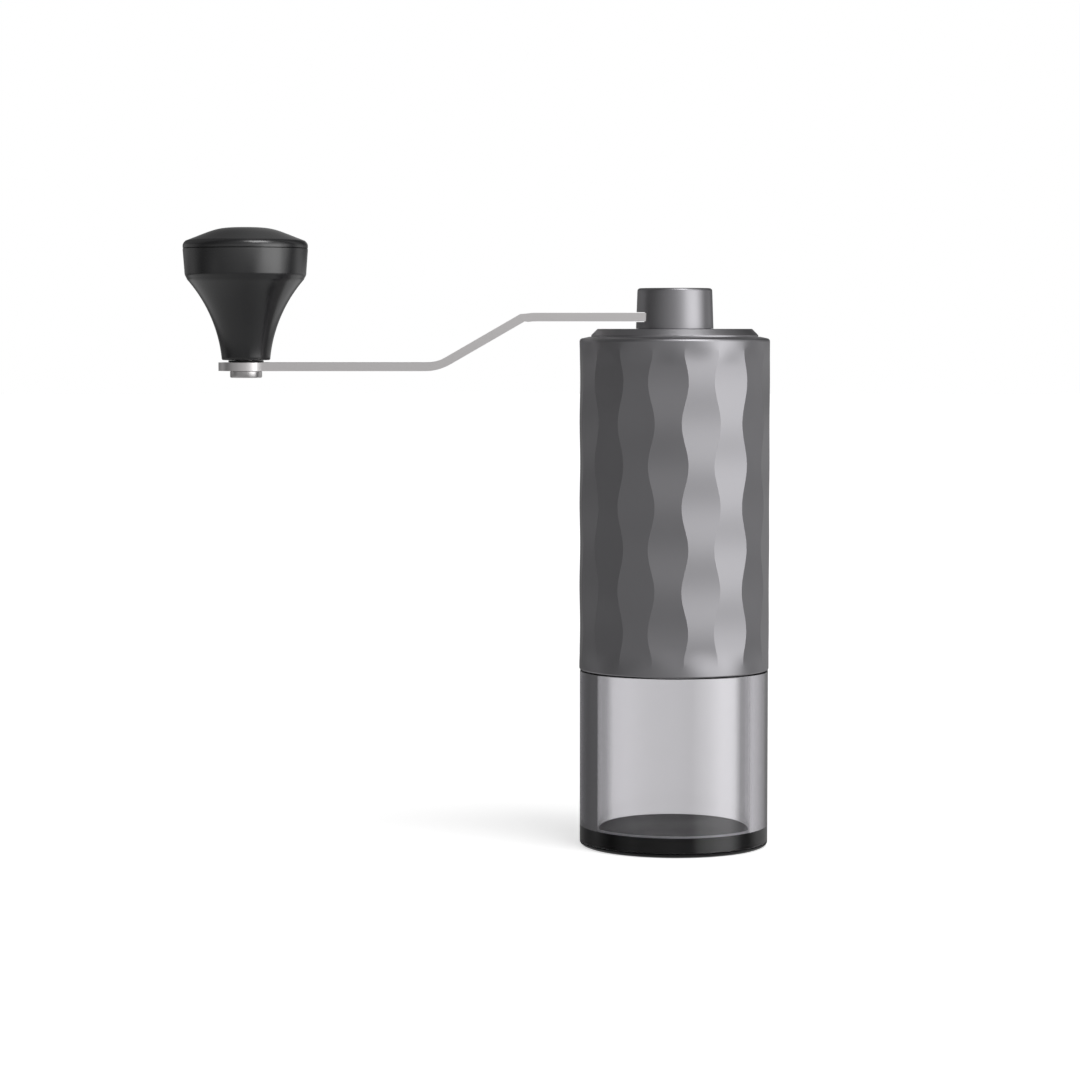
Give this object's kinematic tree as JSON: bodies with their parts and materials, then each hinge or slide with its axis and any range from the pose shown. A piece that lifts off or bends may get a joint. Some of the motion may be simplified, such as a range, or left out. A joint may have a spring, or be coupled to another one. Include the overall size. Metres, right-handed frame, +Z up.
{
  "type": "hand crank coffee grinder",
  "caption": "Slim upright hand coffee grinder: wave-milled grey body, clear screw-on catch cup, cranked flat arm with a turning black knob, conical burrs inside.",
  "frame": {"origin": "centre of the base's underside, on the shaft's axis", "axes": "+Z up along the shaft; the crank arm points to -X at rest; the front of the object is -Y"},
  "size_m": [0.1599, 0.052, 0.1691],
  "materials": {
    "smoked_clear": "clear moulded plastic with a light smoke tint, polished",
    "black_rubber": "smooth black non-slip rubber, semi-gloss",
    "gunmetal": "gunmetal anodised aluminium, satin bead-blast",
    "black_plastic": "black moulded plastic, satin",
    "black_anodised": "black anodised aluminium, satin",
    "burr_steel": "hardened stainless steel, ground",
    "satin_steel": "stainless steel, satin",
    "spring_steel": "drawn spring steel",
    "bronze": "sintered bronze",
    "acetal": "natural white acetal"
  },
  "bodies": {
    "cup": {"catch_cup": "smoked_clear", "cup_base": "black_rubber"},
    "seal": {"cup_seal": "black_rubber"},
    "grinder_body": {"body_sleeve": "gunmetal", "inner_core": "black_plastic", "outer_burr": "burr_steel", "burr_retainer": "satin_steel", "lower_bearing_outer": "burr_steel", "upper_bracket": "black_plastic", "upper_bearing_outer": "burr_steel"},
    "shaft": {"drive_shaft": "satin_steel", "lower_bearing_inner": "burr_steel", "upper_bearing_inner": "burr_steel", "shaft_circlip": "spring_steel", "spring_washer": "satin_steel", "burr_spring": "spring_steel"},
    "inner_burr": {"inner_burr": "burr_steel", "click_plate": "satin_steel"},
    "dial": {"adjusting_dial": "black_anodised", "detent_ball_1": "burr_steel", "detent_ball_2": "burr_steel", "detent_spring_1": "spring_steel", "detent_spring_2": "spring_steel"},
    "crank": {"crank_hub": "gunmetal", "drive_socket": "satin_steel", "socket_clip": "spring_steel", "crank_arm": "satin_steel", "knob_pin": "satin_steel", "knob_washer": "black_rubber", "pin_nut": "satin_steel"},
    "lid": {"lid_plate": "gunmetal", "lid_liner": "black_plastic", "lid_oring": "black_rubber", "lid_bush": "acetal"},
    "knob": {"knob_bush": "bronze", "knob_body": "black_plastic", "knob_cap": "black_plastic"}
  },
  "joints": [
    {"name": "thread_travel", "type": "slide", "parent": "cup", "child": "seal", "axis": [0, 0, 1], "range_m": [0, 0.01]},
    {"name": "thread_turn", "type": "hinge", "parent": "seal", "child": "grinder_body", "pos_m": [0, 0, 0.0525], "axis": [0, 0, 1], "range_deg": [0, 720]},
    {"name": "crank_turn", "type": "hinge", "parent": "grinder_body", "child": "shaft", "pos_m": [0, 0, 0.1], "axis": [0, 0, 1], "continuous": true},
    {"name": "burr_gap", "type": "slide", "parent": "shaft", "child": "inner_burr", "axis": [0, 0, 1], "range_m": [0, 0.0015], "deforming": ["burr_spring"]},
    {"name": "dial_turn", "type": "hinge", "parent": "inner_burr", "child": "dial", "pos_m": [0, 0, 0.055], "axis": [0, 0, 1], "range_deg": [0, 720]},
    {"name": "crank_lift", "type": "slide", "parent": "shaft", "child": "crank", "axis": [0, 0, 1], "range_m": [0, 0.03]},
    {"name": "lid_lift", "type": "slide", "parent": "grinder_body", "child": "lid", "axis": [0, 0, 1], "range_m": [0, 0.03]},
    {"name": "knob_spin", "type": "hinge", "parent": "crank", "child": "knob", "pos_m": [-0.1169, 0, 0.15], "axis": [0, 0, 1], "continuous": true}
  ],
  "couplings": [
    {"joint": "thread_travel", "follows": "thread_turn", "m_per_rad": 0.000795},
    {"joint": "burr_gap", "follows": "dial_turn", "m_per_rad": 0.000119},
    {"joint": "lid_lift", "follows": "crank_lift", "ratio": 1}
  ]
}
